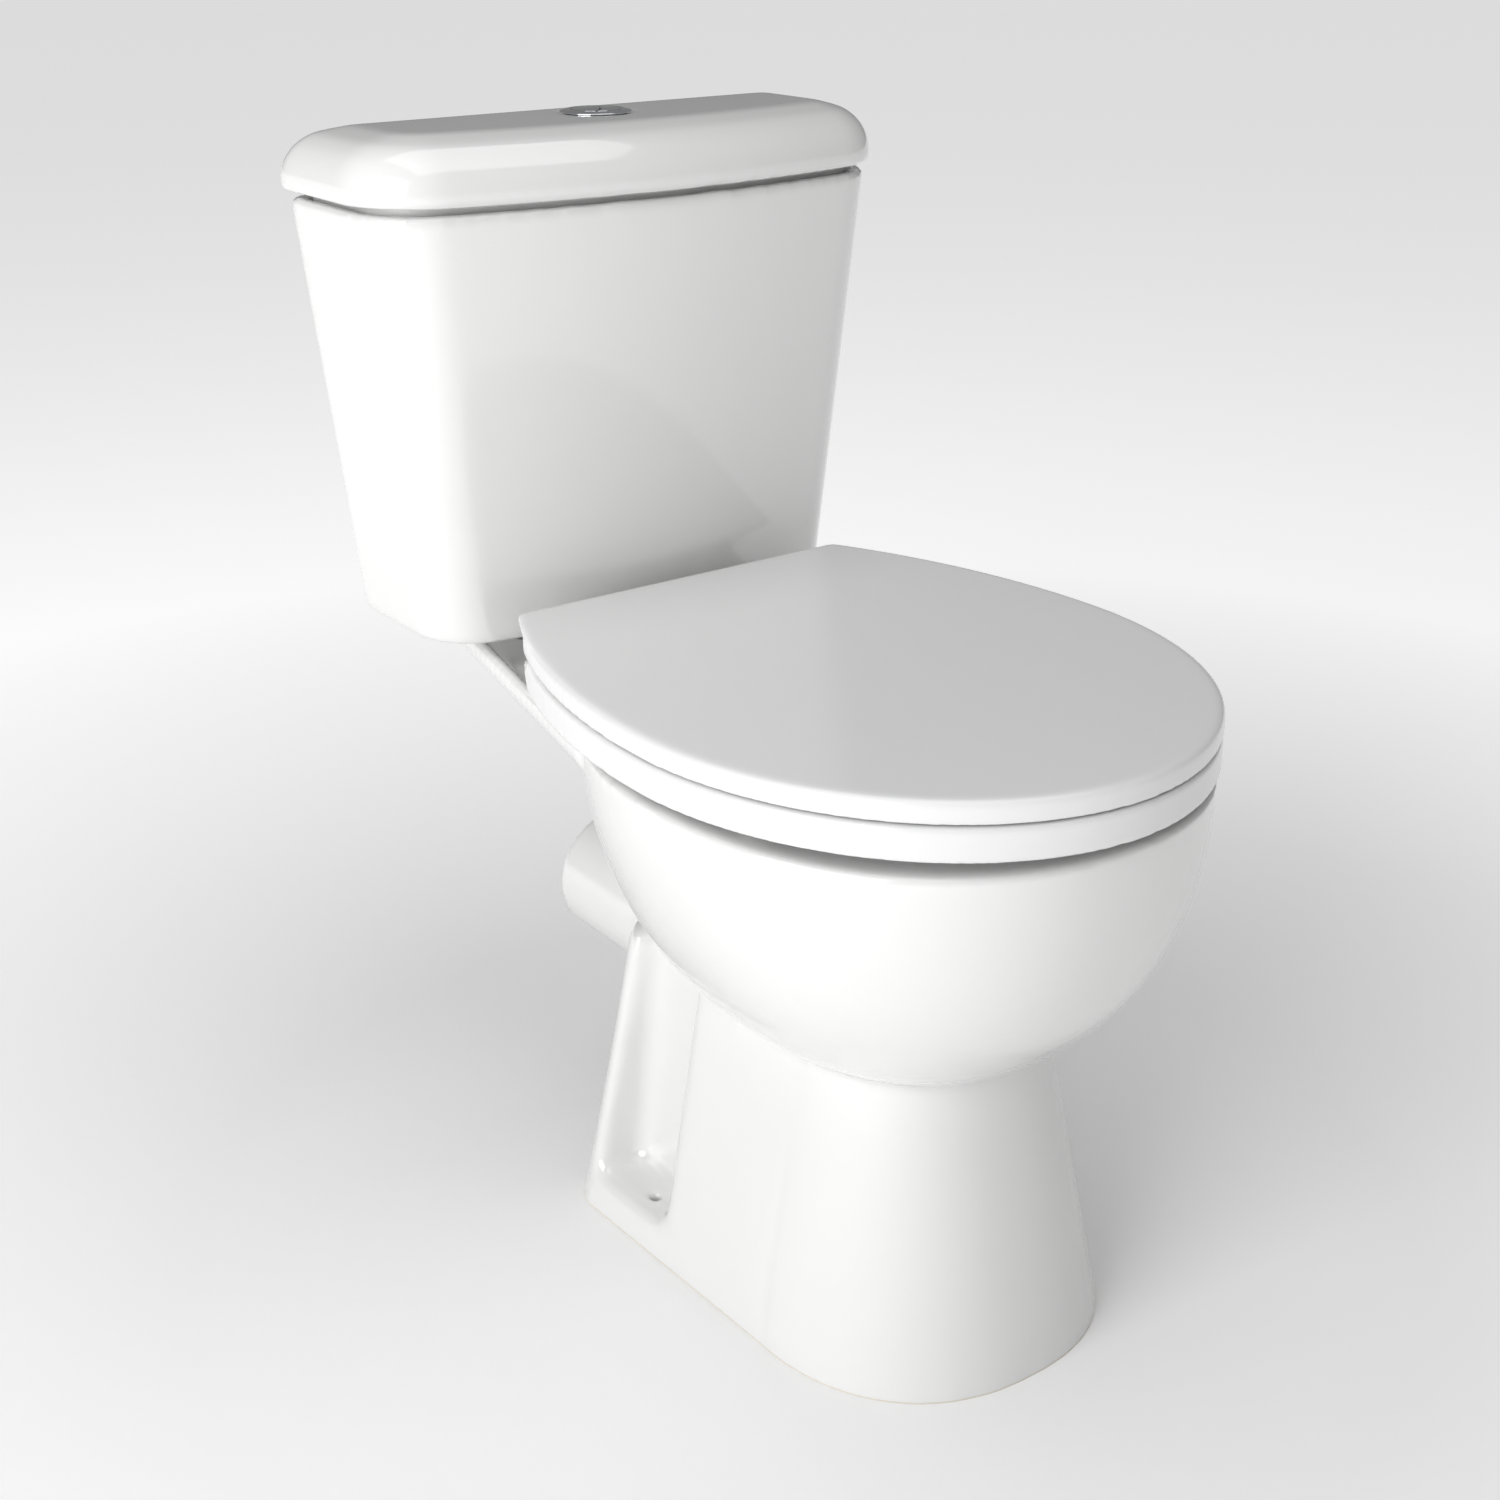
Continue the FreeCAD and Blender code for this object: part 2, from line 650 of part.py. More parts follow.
def make_seat():
    """The seat ring: a top with outer and inner walls, and two hinge knuckles."""
    height = seat_top - seat_bottom
    slab = solid_between(seat_outline(0.0, seat_bottom), height)
    top_edges = [e for e in slab.Edges if e.BoundBox.ZMin > seat_top - 0.1]
    slab = slab.makeFillet(seat_edge_radius, top_edges)
    start = seat_bottom - 1
    opening = solid_between(egg(hole_half_width, hole_front_y, hole_rear_y, hole_middle_y, start), 40)
    hollow_outline = seat_outline(seat_wall, start, seat_hollow_rear_y)
    hollow = solid_between(hollow_outline, height + 1 - seat_wall)
    keep = egg(hole_half_width + seat_wall, hole_front_y - seat_wall, hole_rear_y + seat_wall,
               hole_middle_y, start)
    hollow = hollow.cut(solid_between(keep, 40))
    shape = slab.cut(opening).cut(hollow)

    # The rear end stops at the hinge and slopes forwards underneath, so that it clears the deck.
    end_y = hinge_y + seat_end_reach
    wedge = Part.makePolygon([Vector(-250, end_y, seat_top + 5), Vector(-250, end_y, seat_top - 6),
                              Vector(-250, end_y - 18, seat_bottom - 1),
                              Vector(-250, 200, seat_bottom - 1), Vector(-250, 200, seat_top + 5),
                              Vector(-250, end_y, seat_top + 5)])
    shape = shape.cut(Part.Face(wedge).extrude(ACROSS * 500))
    scoop = Part.makeCylinder(hinge_scoop, 500, Vector(-250, hinge_y, hinge_z), ACROSS)
    shape = shape.cut(scoop)
    for x in (-hinge_x, hinge_x):
        slot_half = post_half_length + side_gap
        shape = shape.cut(box((x - slot_half, x + slot_half), (hinge_y - 20, 200), (400, 450)))
    boss = hinge_rod(knuckle_radius, *seat_knuckle)
    web = box(seat_knuckle, (hinge_y - 14, hinge_y + 4), (seat_top - 16, seat_top - 0.3))
    ears = both_sides(join(boss, web))
    shape = join(shape, *ears)
    bores = both_sides(hinge_rod(hinge_pin_radius + hinge_play, hinge_x, seat_knuckle[1] + 1))
    return shape.cut(bores[0]).cut(bores[1])


def make_seat_lid():
    """The lid: a shallow shell over the seat, with two knuckles under its rear edge."""
    height = lid_top - lid_bottom
    slab = solid_between(seat_outline(0.0, lid_bottom), height)
    corners = [e for e in slab.Edges if e.BoundBox.ZLength > height - 1 and e.BoundBox.YMin > 100]
    slab = slab.makeFillet(9.0, corners)
    top_edges = [e for e in slab.Edges if e.BoundBox.ZMin > lid_top - 0.1]
    slab = slab.makeFillet(lid_edge_radius, top_edges)
    hollow = solid_between(seat_outline(lid_wall, lid_bottom - 1), height - lid_skin + 1)
    rear_cut = box((-250, 250), (hinge_y, 200), (lid_bottom - 1, lid_top - lid_skin))
    shape = slab.cut(hollow).cut(rear_cut)
    boss = hinge_rod(knuckle_radius, *lid_knuckle)
    web = box(lid_knuckle, (hinge_y - knuckle_radius, hinge_y + knuckle_radius),
              (hinge_z, lid_top - lid_skin + 1))
    shape = join(shape, *both_sides(join(boss, web)))
    bores = both_sides(hinge_rod(hinge_pin_radius + hinge_play, lid_knuckle[0] - 1, hinge_x))
    return shape.cut(bores[0]).cut(bores[1])


def make_hinge_post():
    """The pillar of one hinge, standing on the deck, with an eye for the pin."""
    base = post(17.0, deck_height, deck_height + 3.5, hinge_x, hinge_y)
    stem = box((post_inner, post_outer), (hinge_y - 5.5, hinge_y + 5.5), (deck_height, hinge_z))
    eye = hinge_rod(knuckle_radius, post_inner, post_outer)
    return join(base, stem, eye).cut(hinge_rod(hinge_pin_radius, 0, 100))


def make_seat_bolt():
    """The threaded rod under one hinge post."""
    return post(4.0, deck_underside - 26, deck_height, hinge_x, hinge_y)


def make_wing_nut(bore, bottom, x, y):
    """A plastic nut with two wings."""
    body = post(8.5, bottom, bottom + 12, x, y)
    wings = box((x - 15, x + 15), (y - 2, y + 2), (bottom, bottom + 9))
    return join(body, wings).cut(post(bore, bottom - 1, bottom + 13, x, y))


def make_buffers(places, radius, bottom, top):
    """Round rubber pads, mirrored to both sides."""
    pads = []
    for x, y in places:
        pads += both_sides(post(radius, bottom, top, x, y))
    return Part.makeCompound(pads)


def make_flush_valve():
    """The flush valve's fixed part: threaded tail, seat, two columns and the lever bridge."""
    flange_bottom = cistern_bottom + 13
    tail = post(tail_radius, tail_bottom, flange_bottom + 1)
    flange = post(valve_flange_radius, flange_bottom, flange_bottom + 5)
    throat = post(tail_radius, flange_bottom, flange_bottom + 12)
    shape = join(tail, flange, throat).cut(post(tail_bore, tail_bottom - 1, flange_bottom + 13))
    columns = []
    ears = []
    for side in (-1, 1):
        column_y = span(flush_y + side * column_near, flush_y + side * column_far)
        columns.append(box((-column_half_width, column_half_width), column_y, (flange_bottom, bridge_top)))
        ear_y = span(flush_y + side * ear_near, flush_y + side * ear_far)
        ears.append(box((-ear_half_width, ear_half_width), ear_y, (bridge_top - 1, lever_axis_z + 5)))
    bridge = box((-column_half_width, column_half_width), (flush_y - column_far, flush_y + column_far),
                 (bridge_top - bridge_thickness, bridge_top))
    shape = join(shape, *columns, bridge, *ears)
    pin_hole = rod(lever_pin_radius, Vector(0, flush_y, lever_axis_z), BACKWARDS, 20)
    return shape.cut(pin_hole)


def make_flush_lever(side):
    """A rocker on the bridge: its rod end goes down, its far end lifts a lip."""
    y = flush_y + side * lever_offset
    arm = box((-lever_output, lever_output), (y - lever_width / 2, y + lever_width / 2),
              (lever_axis_z - lever_half_thickness, lever_axis_z + lever_half_thickness))
    hub = rod(4.5, Vector(0, y, lever_axis_z), BACKWARDS, lever_width / 2)
    bore = rod(lever_pin_radius + hinge_play, Vector(0, y, lever_axis_z), BACKWARDS, lever_width)
    return join(arm, hub).cut(bore)


def make_lift_post(side, y_range, foot_z):
    """An upright beside the bridge, whose lip a lever lifts."""
    lip_z = lever_axis_z + lever_half_thickness + 0.5
    outer = side * (yoke_inner + yoke_wall)
    upright = box(span(side * yoke_inner, outer), y_range, (foot_z, lip_z + yoke_wall))
    lip = box(span(side * yoke_lip, outer), y_range, (lip_z, lip_z + yoke_wall))
    return join(upright, lip)


def make_lift_yoke():
    """The arm that lifts the overflow tube, clamped round it."""
    foot_top = yoke_foot + yoke_foot_height
    y_range = (flush_y - yoke_far, flush_y - yoke_near)
    collar = ring(tube_radius + 5, tube_radius, yoke_foot, foot_top)
    arm = box((tube_radius + 2, yoke_inner + yoke_wall), y_range, (yoke_foot, foot_top))
    return join(collar, arm, make_lift_post(1, y_range, yoke_foot))


def make_half_flush_float():
    """The sleeve that the half flush lever lifts, free on the overflow tube."""
    arm_bottom = sleeve_top - sleeve_arm_height
    y_range = (flush_y + yoke_near, flush_y + yoke_far)
    sleeve = ring(sleeve_radius, tube_radius + 0.4, sleeve_top - sleeve_height, sleeve_top)
    arm = box((-yoke_inner - yoke_wall, 4 - sleeve_radius), y_range, (arm_bottom, sleeve_top))
    return join(sleeve, arm, make_lift_post(-1, y_range, arm_bottom))


def make_fill_valve():
    """The fill valve's fixed part: threaded shank, flange, riser and head."""
    flange_bottom = cistern_bottom + 13
    shank = post(fill_shank_radius, fill_shank_bottom, cistern_bottom, fill_x)
    collar = post(fill_collar_radius, cistern_bottom - 9, flange_bottom + 1, fill_x)
    flange = post(fill_head_radius, flange_bottom, flange_bottom + 5, fill_x)
    riser = post(riser_radius, flange_bottom, fill_head_bottom + 2, fill_x)
    head = post(fill_head_radius, fill_head_bottom, fill_head_top, fill_x)
    shape = join(shank, collar, flange, riser, head)
    shape = shape.cut(post(fill_bore, fill_shank_bottom - 1, fill_head_top - 7, fill_x))
    cheeks = []
    for side in (-1, 1):
        y_range = span(flush_y + side * bracket_near, flush_y + side * bracket_far)
        cheeks.append(box((fill_x - 34, fill_x - 14), y_range, (float_lever_z - 6, float_lever_z + 4)))
    shape = join(shape, *cheeks)
    pivot = Vector(float_pivot_x, flush_y, float_lever_z)
    return shape.cut(rod(float_pin_radius, pivot, BACKWARDS, 12))


def make_float_lever():
    """The small lever that the float's rod pushes up, so that its beak shuts the inlet."""
    end_x = float_pivot_x - float_lever_arm
    half_width = float_arm_width / 2
    half_thickness = float_arm_thickness / 2
    pivot = Vector(float_pivot_x, flush_y, float_lever_z)
    arm = box((end_x - 5, float_pivot_x), (flush_y - half_width, flush_y + half_width),
              (float_lever_z - half_thickness, float_lever_z + half_thickness))
    beak = box((float_pivot_x + 2, float_pivot_x + 12), (flush_y - 4, flush_y + 4),
               (float_lever_z - 3.5, float_lever_z + 3.5))
    hub = rod(3.5, pivot, BACKWARDS, 4)
    bore = rod(float_pin_radius + hinge_play, pivot, BACKWARDS, 8)
    return join(arm, beak, hub).cut(bore)


def make_float_cup():
    """The float that slides on the riser."""
    shape = ring(float_radius, riser_radius + 0.5, float_bottom, float_top, fill_x)
    lug = box((fill_x - 60, fill_x - float_radius + 3), (flush_y - 4, flush_y + 4),
              (float_top - 8, float_top))
    hole = post(float_rod_radius, float_top - 20, float_top + 1, float_pivot_x - float_lever_arm)
    return join(shape, lug).cut(hole)


def make_float_rod():
    """The adjusting rod that stands on the float and reaches the lever."""
    x = float_pivot_x - float_lever_arm
    top = float_lever_z - float_arm_thickness / 2 - 0.5
    tip_z = top - float_rod_radius
    tip = Part.makeSphere(float_rod_radius, Vector(x, flush_y, tip_z))
    return join(post(float_rod_radius, float_top - 8, tip_z, x), tip)


def make_parts():
    """Every node of the toilet, by name."""
    bottom = cistern_bottom
    seat_pads = ((150.0, -150.0), (160.0, 30.0))
    lid_pads = ((148.0, -150.0), (150.0, 30.0))
    coupling_shank = post(coupling_radius, deck_underside - 22, bottom + 17, coupling_x)
    coupling_head = hexagon(13.0, 0.01, bottom + 17, bottom + 22, coupling_x)
    float_pivot = Vector(float_pivot_x, flush_y, float_lever_z)
    return {
        "pan": make_pan(),
        "cistern": make_cistern(),
        "cistern_lid": make_cistern_lid(),
        "seat": make_seat(),
        "seat_lid": make_seat_lid(),
        "seat_buffers": make_buffers(seat_pads, 8.0, rim_height + 0.3, seat_top - seat_wall),
        "lid_buffers": make_buffers(lid_pads, 6.0, seat_top + 0.3, lid_top - lid_skin),
        "hinge_posts": pair(make_hinge_post()),
        "hinge_pins": pair(hinge_rod(hinge_pin_radius, lid_knuckle[0], seat_knuckle[1])),
        "seat_bolts": pair(make_seat_bolt()),
        "seat_bolt_washers": pair(ring(12.0, 4.5, deck_underside - 3, deck_underside, hinge_x, hinge_y)),
        "seat_wing_nuts": pair(make_wing_nut(4.0, deck_underside - 15, hinge_x, hinge_y)),
        "button_bezel": make_bezel(),
        "bezel_nut": hexagon(50.0, bezel_barrel, cistern_lid_top - 17, cistern_lid_top - 9),
        "full_flush_button": make_button("full_flush"),
        "half_flush_button": make_button("half_flush"),
        "full_flush_rod": make_push_rod("full_flush"),
        "half_flush_rod": make_push_rod("half_flush"),
        "full_flush_spring": make_spring("full_flush"),
        "half_flush_spring": make_spring("half_flush"),
        "flush_valve_body": make_flush_valve(),
        "valve_base_washer": ring(40.0, tail_radius, bottom + 10, bottom + 13),
        "valve_backnut": hexagon(66.0, tail_radius, bottom - 10, bottom),
        "doughnut_washer": ring(45.0, 39.0, deck_height, bottom),
        "overflow_tube": ring(tube_radius, tube_bore, bottom + 26, tube_top),
        "valve_seal": ring(28.5, tube_radius, bottom + 25.3, bottom + 29),
        "lift_yoke": make_lift_yoke(),
        "half_flush_float": make_half_flush_float(),
        "full_flush_lever": make_flush_lever(-1),
        "half_flush_lever": make_flush_lever(1),
        "lever_pin": rod(lever_pin_radius, Vector(0, flush_y, lever_axis_z), BACKWARDS, 17.5),
        "fill_valve_body": make_fill_valve(),
        "fill_valve_cap": post(fill_head_radius + 1, fill_head_top, fill_head_top + 6, fill_x),
        "fill_valve_washer": ring(16.0, fill_collar_radius, bottom + 10, bottom + 13, fill_x),
        "fill_valve_backnut": hexagon(30.0, fill_collar_radius, bottom - 9, bottom, fill_x),
        "float_cup": make_float_cup(),
        "float_rod": make_float_rod(),
        "float_lever": make_float_lever(),
        "float_lever_pin": rod(float_pin_radius, float_pivot, BACKWARDS, 9),
        "coupling_bolts": pair(join(coupling_shank, coupling_head)),
        "coupling_seals": pair(ring(13.0, coupling_radius, bottom + 10, bottom + 14, coupling_x)),
        "coupling_washers": pair(ring(11.0, coupling_radius, bottom + 14, bottom + 17, coupling_x)),
        "coupling_wing_nuts": pair(make_wing_nut(coupling_radius, deck_underside - 12, coupling_x, flush_y)),
    }


def main():
    """Write one STEP file for each node."""
    os.makedirs("parts", exist_ok=True)
    for name, shape in make_parts().items():
        shape.exportStep(f"parts/{name}.step")


if __name__ == "__main__":
    main()
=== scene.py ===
"""A close coupled toilet in white china, with a plastic seat and lid and a chrome dual flush button."""

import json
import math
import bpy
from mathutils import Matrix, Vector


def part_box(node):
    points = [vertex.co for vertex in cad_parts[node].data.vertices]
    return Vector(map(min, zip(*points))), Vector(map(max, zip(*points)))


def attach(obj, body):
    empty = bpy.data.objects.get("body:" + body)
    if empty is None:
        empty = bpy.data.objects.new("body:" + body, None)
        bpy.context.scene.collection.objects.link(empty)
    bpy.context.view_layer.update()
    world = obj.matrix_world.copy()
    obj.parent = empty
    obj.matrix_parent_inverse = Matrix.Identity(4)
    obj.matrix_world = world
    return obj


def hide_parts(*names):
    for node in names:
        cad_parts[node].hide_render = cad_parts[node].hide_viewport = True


bl_info = {
    "name": "Close Coupled Toilet",
    "version": (1, 0, 0),
    "blender": (4, 5, 0),
    "location": "3D View > Sidebar > Toilet",
    "description": "Builds the china, seat, buttons, valves and studio of a close coupled toilet",
    "category": "Object",
}

import bmesh
import bpy
from bpy.props import FloatProperty, FloatVectorProperty, IntProperty, PointerProperty
from mathutils import Matrix, Vector

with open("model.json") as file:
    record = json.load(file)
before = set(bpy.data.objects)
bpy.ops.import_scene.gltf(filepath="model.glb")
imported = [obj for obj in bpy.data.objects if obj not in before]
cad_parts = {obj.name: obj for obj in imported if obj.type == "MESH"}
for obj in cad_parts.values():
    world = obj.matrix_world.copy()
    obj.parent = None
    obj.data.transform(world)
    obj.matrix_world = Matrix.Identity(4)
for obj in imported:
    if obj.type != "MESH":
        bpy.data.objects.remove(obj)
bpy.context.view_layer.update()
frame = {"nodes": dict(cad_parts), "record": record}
MM = 0.001
WHITE = (1.0, 1.0, 1.0)
MOST_TRIANGLES = 195000
FIXINGS = next(mount for mount in frame["record"]["mounts"] if mount["name"] == "floor_fixings")
FIXING_X = FIXINGS["dims"]["spacing_x_mm"] * MM / 2
FIXING_Y = FIXINGS["pos_m"][1]

# Where the foot's scooped sides lie, and what round their screw holes stays crisp.
SCOOP_INNER_X = 56 * MM
SCOOP_FRONT_Y, SCOOP_REAR_Y = -50 * MM, 140 * MM
SCOOP_BOTTOM, SCOOP_TOP = 10 * MM, 226 * MM
HOLE_REACH, HOLE_TOP = 9 * MM, 33 * MM

# Which carried CAD nodes are made of which finish.
FINISHES = {
    "polished_plastic": ("hinge_posts", "seat_bolts", "seat_wing_nuts"),
    "pale_rubber": ("seat_buffers", "lid_buffers", "seat_bolt_washers"),
    "white_moulding": ("flush_valve_body", "overflow_tube", "lift_yoke", "bezel_nut",
                       "full_flush_rod", "half_flush_rod", "fill_valve_body", "valve_backnut",
                       "fill_valve_backnut"),
    "blue_moulding": ("full_flush_lever", "half_flush_lever", "float_lever", "fill_valve_cap",
                      "half_flush_float"),
    "grey_moulding": ("float_cup", "float_rod"),
    "black_rubber": ("valve_base_washer", "doughnut_washer", "valve_seal", "fill_valve_washer",
                     "coupling_seals"),
    "plated_steel": ("hinge_pins", "coupling_bolts", "coupling_washers", "coupling_wing_nuts",
                     "lever_pin", "float_lever_pin", "full_flush_spring", "half_flush_spring"),
}


# ---------------------------------------------------------------- sizes and colours

class ToiletChina(bpy.types.PropertyGroup):
    """Sizes and colours of the glazed china."""
    colour: FloatVectorProperty(
        name="Glaze colour", description="Colour of the white glaze", subtype="COLOR",
        default=(0.80, 0.80, 0.795), min=0.0, max=1.0)
    raw_colour: FloatVectorProperty(
        name="Bare china colour", description="Colour where the china has no glaze",
        subtype="COLOR", default=(0.66, 0.62, 0.55), min=0.0, max=1.0)
    glaze_roughness: FloatProperty(
        name="Glaze roughness", description="How blurred reflections in the glaze are",
        subtype="FACTOR", default=0.14, min=0.0, max=1.0)
    pan_grain: FloatProperty(
        name="Pan mesh size", description="Size of one mesh face on the pan",
        subtype="DISTANCE", unit="LENGTH", default=2.4 * MM, min=1 * MM, max=10 * MM)
    cistern_grain: FloatProperty(
        name="Cistern mesh size", description="Size of one mesh face on the cistern",
        subtype="DISTANCE", unit="LENGTH", default=2.8 * MM, min=1 * MM, max=10 * MM)
    cover_grain: FloatProperty(
        name="Cistern lid mesh size", description="Size of one mesh face on the cistern lid",
        subtype="DISTANCE", unit="LENGTH", default=2.0 * MM, min=1 * MM, max=10 * MM)
    softness: IntProperty(
        name="Softness", description="How many times edges are softened under the glaze",
        default=9, min=0, max=40)
    scoop_softness: IntProperty(
        name="Scoop softness", description="How many more times the foot's scooped sides are softened",
        default=60, min=0, max=120)


class ToiletSeat(bpy.types.PropertyGroup):
    """Sizes and colours of the seat and lid."""
    colour: FloatVectorProperty(
        name="Seat colour", description="Colour of the white plastic", subtype="COLOR",
        default=(0.80, 0.80, 0.80), min=0.0, max=1.0)
    roughness: FloatProperty(
        name="Seat roughness", description="How blurred reflections in the plastic are",
        subtype="FACTOR", default=0.2, min=0.0, max=1.0)
    grain: FloatProperty(
        name="Seat mesh size", description="Size of one mesh face on the seat and lid",
        subtype="DISTANCE", unit="LENGTH", default=1.75 * MM, min=0.8 * MM, max=10 * MM)


class ToiletButton(bpy.types.PropertyGroup):
    """Sizes and colours of the flush button."""
    colour: FloatVectorProperty(
        name="Chrome colour", description="Colour of the bright plating", subtype="COLOR",
        default=(0.72, 0.73, 0.75), min=0.0, max=1.0)
    roughness: FloatProperty(
        name="Chrome roughness", description="How blurred reflections in the plating are",
        subtype="FACTOR", default=0.09, min=0.0, max=1.0)
    grain: FloatProperty(
        name="Button mesh size", description="Size of one mesh face on a button",
        subtype="DISTANCE", unit="LENGTH", default=0.32 * MM, min=0.1 * MM, max=2 * MM)
    cone_radius: FloatProperty(
        name="Cone top radius", description="Radius where the ring's cone ends",
        subtype="DISTANCE", unit="LENGTH", default=20.6 * MM, min=18 * MM, max=24 * MM)
    turns: IntProperty(
        name="Ring faces", description="Faces round the chrome ring", default=96, min=24, max=256)


class ToiletStudio(bpy.types.PropertyGroup):
    """The camera and the lights."""
    camera_place: FloatVectorProperty(
        name="Camera place", description="Where the camera stands", subtype="TRANSLATION",
        unit="LENGTH", default=(-0.83131, -1.07290, 0.92379))
    azimuth: FloatProperty(
        name="Camera turn", description="Turn of the camera about the vertical",
        subtype="ANGLE", unit="ROTATION", default=math.radians(-36.29))
    elevation: FloatProperty(
        name="Camera tilt", description="How far the camera looks down",
        subtype="ANGLE", unit="ROTATION", default=math.radians(22.57))
    roll: FloatProperty(
        name="Camera roll", description="Roll of the camera about its own axis",
        subtype="ANGLE", unit="ROTATION", default=math.radians(-0.13))
    lens: FloatProperty(
        name="Lens", description="Focal length in millimetres on a 36 mm wide sensor",
        default=52.06, min=10.0, max=200.0)
    key_power: FloatProperty(
        name="Key light", description="Power of the large soft light on the left",
        default=70.0, min=0.0, max=500.0)
    fill_power: FloatProperty(
        name="Fill light", description="Power of the soft light on the right",
        default=0.4, min=0.0, max=500.0)
    top_power: FloatProperty(
        name="Top light", description="Power of the soft light overhead",
        default=24.0, min=0.0, max=500.0)
    room_light: FloatProperty(
        name="Room light", description="Strength of the even light from all round",
        default=0.23, min=0.0, max=5.0)


# ---------------------------------------------------------------- shader tools

class Wire:
    """A shader socket that can be used in Python expressions."""

    def __init__(self, tree, socket):
        self.tree = tree
        self.socket = socket

    def math(self, operation, other, swapped=False):
        node = self.tree.nodes.new("ShaderNodeMath")
        node.operation = operation
        values = (other, self) if swapped else (self, other)
        for socket, value in zip(node.inputs, values):
            if isinstance(value, Wire):
                self.tree.links.new(value.socket, socket)
            elif value is not None:
                socket.default_value = value
        return Wire(self.tree, node.outputs[0])

    def __add__(self, other):
        return self.math("ADD", other)

    __radd__ = __add__

    def __sub__(self, other):
        return self.math("SUBTRACT", other)

    def __rsub__(self, other):
        return self.math("SUBTRACT", other, swapped=True)

    def __mul__(self, other):
        return self.math("MULTIPLY", other)

    __rmul__ = __mul__

    def above(self, limit):
        return self.math("GREATER_THAN", limit)

    def below(self, limit):
        return self.math("LESS_THAN", limit)

    def larger(self, other):
        return self.math("MAXIMUM", other)

    def smaller(self, other):
        return self.math("MINIMUM", other)


class Finish:
    """One node-based material, with its Principled shader ready to be set."""

    def __init__(self, name):
        self.material = bpy.data.materials.new(name)
        self.material.use_nodes = True
        self.tree = self.material.node_tree
        self.shader = self.tree.nodes["Principled BSDF"]
        self.place = self.node("ShaderNodeTexCoord", output="Object")

    def node(self, kind, settings=None, output=0, **inputs):
        """Adds a node, sets it up, feeds its sockets and gives one output as a wire."""
        node = self.tree.nodes.new(kind)
        for key, value in (settings or {}).items():
            setattr(node, key, value)
        for key, value in inputs.items():
            self.feed(node.inputs[key.replace("_", " ")], value)
        return Wire(self.tree, node.outputs[output])

    def feed(self, socket, value):
        if isinstance(value, Wire):
            self.tree.links.new(value.socket, socket)
        else:
            socket.default_value = value

    def set(self, **inputs):
        """Sets or feeds sockets of the Principled shader."""
        for key, value in inputs.items():
            self.feed(self.shader.inputs[key.replace("_", " ")], value)

    def noise(self, scale, detail=2.0, roughness=0.5):
        return self.node("ShaderNodeTexNoise", output="Fac", Vector=self.place, Scale=scale,
                         Detail=detail, Roughness=roughness)

    def stretched_noise(self, scale, stretch, detail=2.0):
        """Noise drawn out along one axis, as on brushed or drawn metal."""
        turned = self.node("ShaderNodeMapping", output="Vector", Vector=self.place, Scale=stretch)
        return self.node("ShaderNodeTexNoise", output="Fac", Vector=turned, Scale=scale,
                         Detail=detail)

    def height(self):
        """Height above the floor in metres."""
        return self.node("ShaderNodeSeparateXYZ", output="Z", Vector=self.place)

    def mix(self, share, low, high):
        """A colour between two, by a share."""
        node = self.tree.nodes.new("ShaderNodeMix")
        node.data_type = "RGBA"
        for socket, value in ((node.inputs[0], share), (node.inputs[6], low), (node.inputs[7], high)):
            self.feed(socket, value)
        return Wire(self.tree, node.outputs[2])

    def bump(self, height, strength, distance):
        """Feeds the shader's normal from a height."""
        self.set(Normal=self.node("ShaderNodeBump", output="Normal", Height=height,
                                  Strength=strength, Distance=distance))


def solid(colour, share=1.0):
    """A colour with its alpha, dimmed by a share."""
    return (colour[0] * share, colour[1] * share, colour[2] * share, 1.0)


# ---------------------------------------------------------------- finishes

def glazed_china():
    """White glaze over vitreous china: a clear even gloss, faint ripples, bare where it stands."""
    look = bpy.context.scene.toilet_china
    finish = Finish("glazed_china")
    ripple = finish.noise(9.0, 1.0)
    specks = finish.noise(900.0, 0.0)
    bare = finish.height().below(1.2 * MM)
    glaze = finish.mix(finish.noise(5.0, 3.0), solid(look.colour, 0.975), solid(look.colour, 1.01))
    speckled = finish.mix(specks.above(0.83) * 0.12, glaze, solid(look.colour, 0.8))
    finish.set(Base_Color=finish.mix(bare, speckled, solid(look.raw_colour)),
               Roughness=bare * 0.6 + look.glaze_roughness + ripple * 0.05,
               Coat_Weight=1.0 - bare, Coat_Roughness=0.035, Coat_IOR=1.5, IOR=1.5)
    finish.bump(ripple + finish.noise(60.0, 2.0) * 0.05, 0.12, 0.8 * MM)
    return finish.material


def polished_plastic():
    """Polished white moulded plastic, with faint wipe marks."""
    look = bpy.context.scene.toilet_seat
    finish = Finish("polished_plastic")
    wiped = finish.stretched_noise(30.0, (1.0, 6.0, 1.0), 4.0)
    cloud = finish.noise(14.0, 3.0)
    finish.set(Base_Color=finish.mix(cloud, solid(look.colour, 0.985), solid(look.colour, 1.005)),
               Roughness=wiped * 0.07 + look.roughness, IOR=1.49,
               Coat_Weight=0.35, Coat_Roughness=0.08)
    finish.bump(finish.noise(450.0, 2.0), 0.05, 0.1 * MM)
    return finish.material


def bright_chrome():
    """Bright plating with a trace of finger marks."""
    look = bpy.context.scene.toilet_button
    finish = Finish("bright_chrome")
    marks = finish.noise(140.0, 4.0, 0.6)
    lines = finish.stretched_noise(400.0, (1.0, 14.0, 1.0), 2.0)
    finish.set(Base_Color=finish.mix(marks, solid(look.colour, 0.93), solid(look.colour)),
               Metallic=1.0, Roughness=marks * 0.10 + lines * 0.04 + look.roughness)
    finish.bump(lines, 0.04, 0.05 * MM)
    return finish.material


